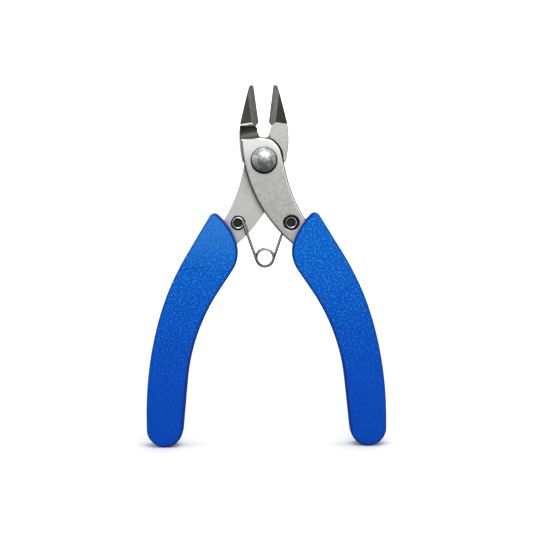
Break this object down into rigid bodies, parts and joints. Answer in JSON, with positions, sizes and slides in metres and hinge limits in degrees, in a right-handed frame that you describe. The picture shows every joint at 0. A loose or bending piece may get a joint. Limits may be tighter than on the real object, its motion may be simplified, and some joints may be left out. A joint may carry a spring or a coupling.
{
  "type": "sprue nippers",
  "caption": "Small hand nippers with lap-jointed steel levers, bevelled blades, a domed pivot rivet, a wire return spring and moulded grips.",
  "frame": {"origin": "under the pivot axis, level with the grip ends, midway through the thickness", "axes": "+Z from the grip ends to the blade tips, +X to the right seen from the rivet-head side, +Y to the back, along the pivot"},
  "size_m": [0.0762, 0.01, 0.1145],
  "materials": {
    "lever_steel": "tumbled satin, blades ground",
    "rivet_steel": "polished, faintly hammered",
    "grip_plastic": "fine moulded grain",
    "spring_wire": "bright drawn wire",
    "pin_steel": "blackened"
  },
  "bodies": {
    "back_half": {"back_lever": "lever_steel", "left_grip": "grip_plastic", "pivot_rivet": "rivet_steel"},
    "front_half": {"front_lever": "lever_steel", "right_grip": "grip_plastic"},
    "spring_left": {"spring_left_arm": "spring_wire", "spring_pin_left": "pin_steel"},
    "spring_right": {"spring_right_arm": "spring_wire", "spring_pin_right": "pin_steel"}
  },
  "joints": [
    {"name": "jaw_pivot", "type": "hinge", "parent": "back_half", "child": "front_half", "pos_m": [0, 0, 0.09085], "axis": [0, 1, 0], "range_deg": [0, 15], "stiffness_Nm_per_rad": 0.8, "springref_deg": -5.73},
    {"name": "spring_left_eye", "type": "hinge", "parent": "back_half", "child": "spring_left", "pos_m": [-0.00847, 0, 0.07105], "axis": [0, 1, 0], "range_deg": [0, 20.5]},
    {"name": "spring_right_eye", "type": "hinge", "parent": "front_half", "child": "spring_right", "pos_m": [0.00847, 0, 0.07105], "axis": [0, 1, 0], "range_deg": [-20.5, 0]}
  ],
  "couplings": [
    {"joint": "spring_left_eye", "follows": "jaw_pivot", "ratio": 1.353},
    {"joint": "spring_right_eye", "follows": "jaw_pivot", "ratio": -1.353}
  ]
}
